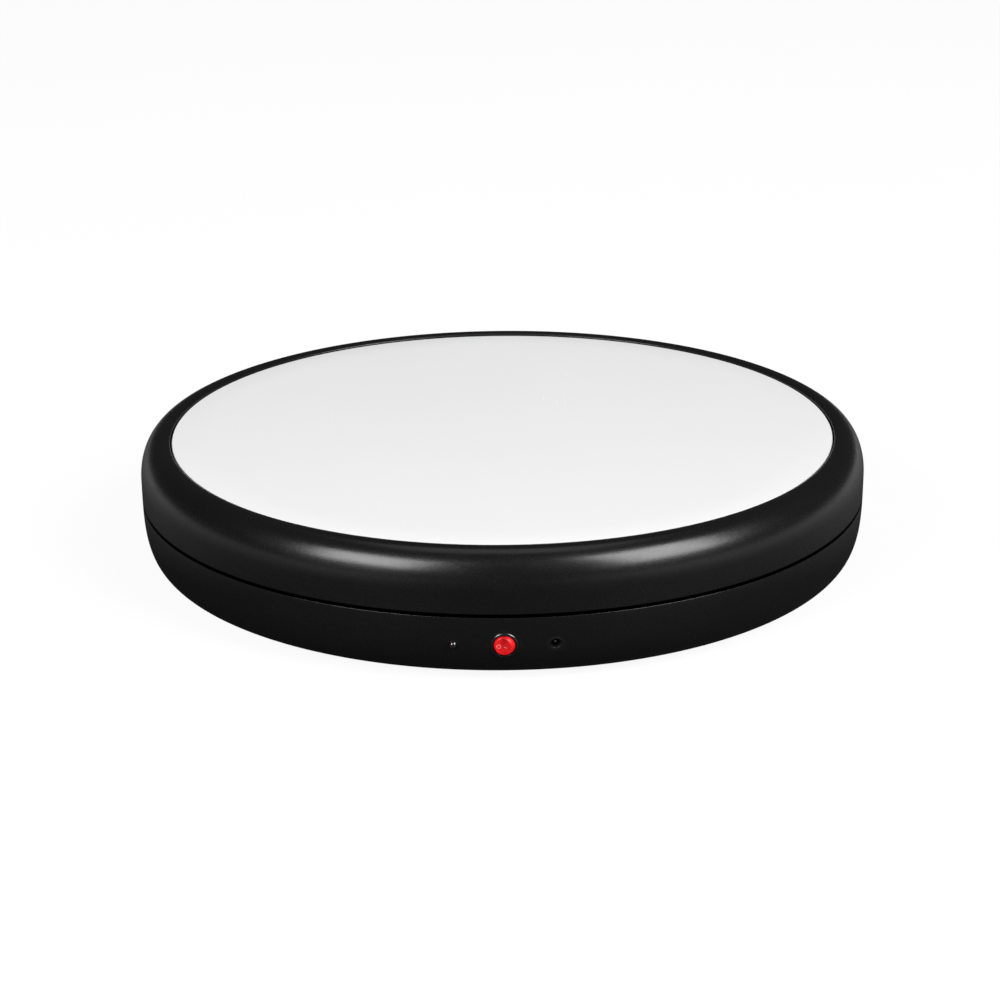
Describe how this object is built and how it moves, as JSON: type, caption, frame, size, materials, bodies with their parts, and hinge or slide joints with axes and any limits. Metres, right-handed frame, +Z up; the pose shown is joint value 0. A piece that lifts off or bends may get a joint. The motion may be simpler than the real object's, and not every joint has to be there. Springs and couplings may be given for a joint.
{
  "type": "turntable display stand",
  "caption": "Low round motor-driven display turntable: black shell with rounded rim, white disc top turning above a side seam, round red rocker switch and DC socket on the front wall.",
  "frame": {"origin": "centre of the plane the feet stand on", "axes": "+Z up along the turning axis; the switch and sockets are on the -Y side"},
  "size_m": [0.52, 0.5229, 0.09],
  "materials": {
    "shell": "fine-textured satin black moulded plastic",
    "panel": "smooth glossy white sheet",
    "tape": "foam bonding tape",
    "rubber": "black rubber",
    "zinc": "zinc-plated steel",
    "steel": "turned steel",
    "race": "ground bearing steel",
    "nylon": "natural nylon",
    "roller": "dark grey polyurethane",
    "hub_alu": "turned aluminium",
    "acetal": "white acetal",
    "case": "black moulded plastic",
    "brass": "tinned brass",
    "board": "green solder mask",
    "chip": "black epoxy",
    "capacitor": "dark sleeve",
    "switch_black": "semi-gloss black plastic",
    "rocker_red": "glossy translucent red plastic",
    "dome": "dark tinted clear plastic",
    "wire": "insulated wire",
    "cage": "pressed brass"
  },
  "bodies": {
    "base": {"base_shell": "shell", "rubber_feet": "rubber", "foot_screws": "zinc", "spindle": "steel", "spindle_screws": "zinc", "bearing_inner_races": "race", "bearing_spacer": "steel", "spindle_washer": "zinc", "spindle_nut": "zinc", "roller_brackets": "nylon", "bracket_screws": "zinc", "roller_axles": "steel", "motor_plate": "zinc", "plate_grommets": "rubber", "plate_screws": "zinc", "gearbox_case": "case", "gearbox_cover": "case", "gearbox_screws": "zinc", "gear_pins": "steel", "motor_can": "steel", "motor_end_cap": "case", "motor_terminals": "brass", "control_board": "board", "board_chip": "chip", "board_capacitor": "capacitor", "board_connectors": "nylon", "board_screws": "zinc", "switch_body": "switch_black", "socket_body": "switch_black", "socket_pin": "steel", "control_terminals": "brass", "indicator_dome": "dome", "indicator_holder": "switch_black", "front_cables": "wire", "motor_cable": "wire"},
    "platform": {"rim_shell": "shell", "panel_tape": "tape", "top_panel": "panel", "hub": "hub_alu", "hub_screws": "zinc", "bearing_outer_races": "race", "ring_gear": "acetal", "ring_gear_screws": "zinc", "roller_track": "steel", "track_screws": "zinc"},
    "bearing_cage_set": {"bearing_cages": "cage", "bearing_balls": "race"},
    "roller_1": {"support_roller_1": "roller"},
    "roller_2": {"support_roller_2": "roller"},
    "roller_3": {"support_roller_3": "roller"},
    "roller_4": {"support_roller_4": "roller"},
    "roller_5": {"support_roller_5": "roller"},
    "roller_6": {"support_roller_6": "roller"},
    "output_shaft": {"output_gear": "steel", "drive_pinion": "acetal"},
    "idler_2": {"idler_gear_2": "acetal"},
    "idler_1": {"idler_gear_1": "acetal"},
    "rotor": {"motor_rotor": "steel"},
    "rocker": {"switch_rocker": "rocker_red"}
  },
  "joints": [
    {"name": "platform_spin", "type": "hinge", "parent": "base", "child": "platform", "pos_m": [0, 0, 0.056], "axis": [0, 0, 1], "continuous": true},
    {"name": "bearing_cage_spin", "type": "hinge", "parent": "base", "child": "bearing_cage_set", "pos_m": [0, 0, 0.056], "axis": [0, 0, 1], "continuous": true},
    {"name": "roller_1_spin", "type": "hinge", "parent": "base", "child": "roller_1", "pos_m": [0.19, 0, 0.04595], "axis": [1, 0, 0], "continuous": true},
    {"name": "roller_2_spin", "type": "hinge", "parent": "base", "child": "roller_2", "pos_m": [0.095, 0.16454, 0.04595], "axis": [0.5, 0.866, 0], "continuous": true},
    {"name": "roller_3_spin", "type": "hinge", "parent": "base", "child": "roller_3", "pos_m": [-0.095, 0.16454, 0.04595], "axis": [-0.5, 0.866, 0], "continuous": true},
    {"name": "roller_4_spin", "type": "hinge", "parent": "base", "child": "roller_4", "pos_m": [-0.19, 0, 0.04595], "axis": [-1, 0, 0], "continuous": true},
    {"name": "roller_5_spin", "type": "hinge", "parent": "base", "child": "roller_5", "pos_m": [-0.095, -0.16454, 0.04595], "axis": [-0.5, -0.866, 0], "continuous": true},
    {"name": "roller_6_spin", "type": "hinge", "parent": "base", "child": "roller_6", "pos_m": [0.095, -0.16454, 0.04595], "axis": [0.5, -0.866, 0], "continuous": true},
    {"name": "output_shaft_spin", "type": "hinge", "parent": "base", "child": "output_shaft", "pos_m": [0, 0.08, 0.06], "axis": [0, 0, 1], "continuous": true},
    {"name": "idler_2_spin", "type": "hinge", "parent": "base", "child": "idler_2", "pos_m": [0.012, 0.10078, 0.052], "axis": [0, 0, 1], "continuous": true},
    {"name": "idler_1_spin", "type": "hinge", "parent": "base", "child": "idler_1", "pos_m": [-0.00359, 0.10978, 0.052], "axis": [0, 0, 1], "continuous": true},
    {"name": "rotor_spin", "type": "hinge", "parent": "base", "child": "rotor", "pos_m": [0.00541, 0.12537, 0.03], "axis": [0, 0, 1], "continuous": true},
    {"name": "switch_rock", "type": "hinge", "parent": "base", "child": "rocker", "pos_m": [0, -0.25724, 0.02881], "axis": [0, -0.1317, 0.9913], "range_deg": [0, 22]}
  ],
  "couplings": [
    {"joint": "bearing_cage_spin", "follows": "platform_spin", "ratio": 0.60242},
    {"joint": "roller_1_spin", "follows": "platform_spin", "ratio": -13.571},
    {"joint": "roller_2_spin", "follows": "platform_spin", "ratio": -13.571},
    {"joint": "roller_3_spin", "follows": "platform_spin", "ratio": -13.571},
    {"joint": "roller_4_spin", "follows": "platform_spin", "ratio": -13.571},
    {"joint": "roller_5_spin", "follows": "platform_spin", "ratio": -13.571},
    {"joint": "roller_6_spin", "follows": "platform_spin", "ratio": -13.571},
    {"joint": "output_shaft_spin", "follows": "platform_spin", "ratio": 9},
    {"joint": "idler_2_spin", "follows": "platform_spin", "ratio": -36},
    {"joint": "idler_1_spin", "follows": "platform_spin", "ratio": 180},
    {"joint": "rotor_spin", "follows": "platform_spin", "ratio": -900}
  ]
}
